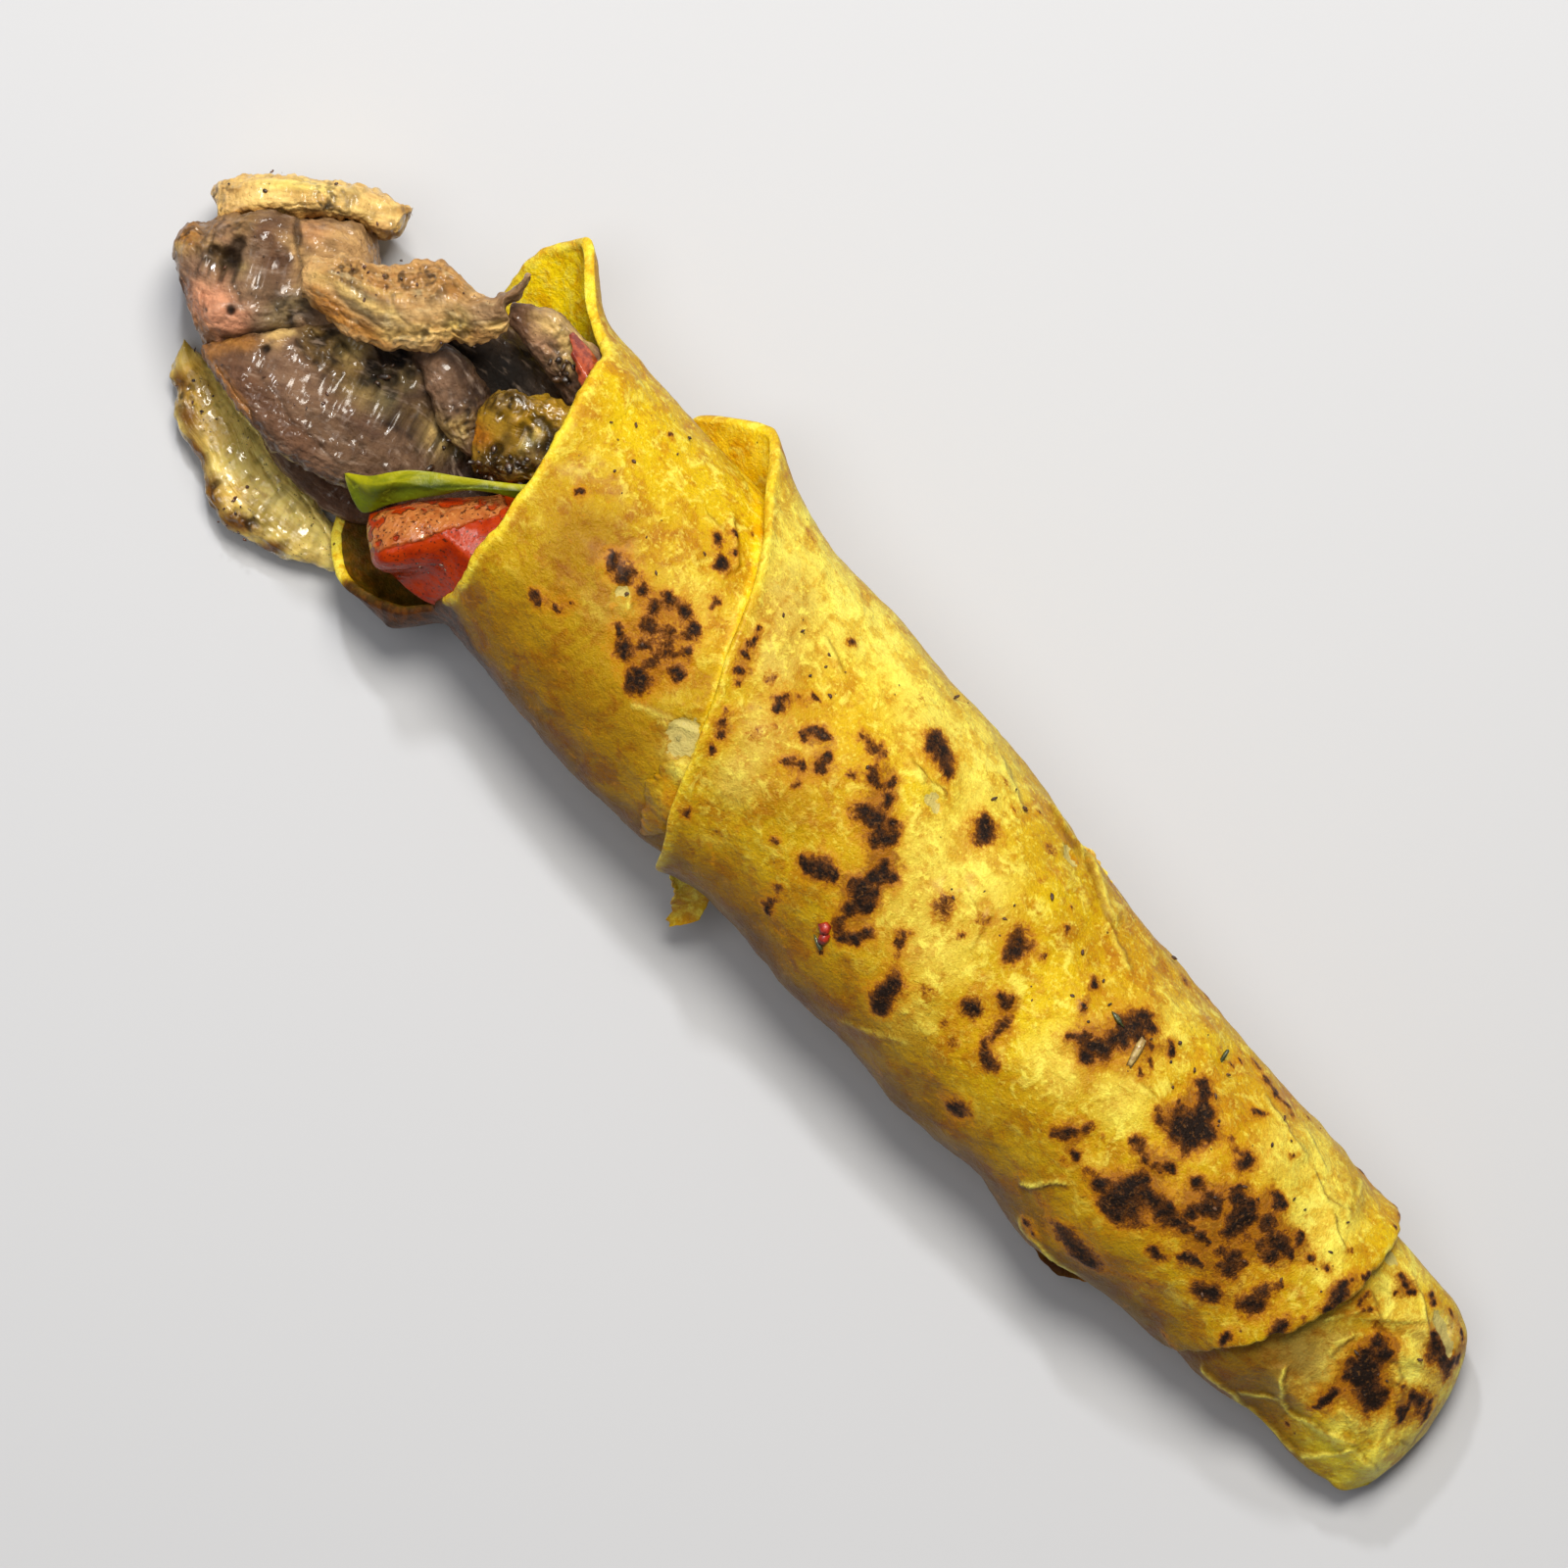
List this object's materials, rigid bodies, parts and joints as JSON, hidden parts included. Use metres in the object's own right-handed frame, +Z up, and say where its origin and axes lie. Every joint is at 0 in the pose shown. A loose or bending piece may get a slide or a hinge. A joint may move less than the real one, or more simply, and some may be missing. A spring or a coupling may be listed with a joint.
{
  "type": "gyro wrap",
  "caption": "Gyro wrap: a griddled flatbread rolled round sliced roast meat, tomato, onion and pepper, open at one end, folded at the other.",
  "frame": {"origin": "on the resting surface, under the middle of the wrap's box", "axes": "+X along the roll from the open mouth to the folded foot, +Y across it, +Z up out of the shown side"},
  "size_m": [0.2986, 0.08, 0.0479],
  "materials": {
    "bread": "matte",
    "meat_dark": "satin",
    "meat_light": "satin",
    "tomato": "gloss",
    "leaf": "satin",
    "onion": "gloss",
    "pepper": "gloss",
    "red_pepper": "gloss"
  },
  "bodies": {
    "root": {"flatbread": "bread", "meat_core": "meat_dark", "meat_slice_back": "meat_dark", "meat_slice_front": "meat_dark", "meat_slice_under": "meat_dark", "meat_shred_inner": "meat_dark", "meat_strip_side": "meat_dark", "meat_slice_curled": "meat_light", "meat_slice_top": "meat_light", "tomato_wedge": "tomato", "green_leaf": "leaf", "onion_petal": "onion", "roasted_pepper": "pepper", "red_pepper_bit": "red_pepper"}
  },
  "joints": []
}
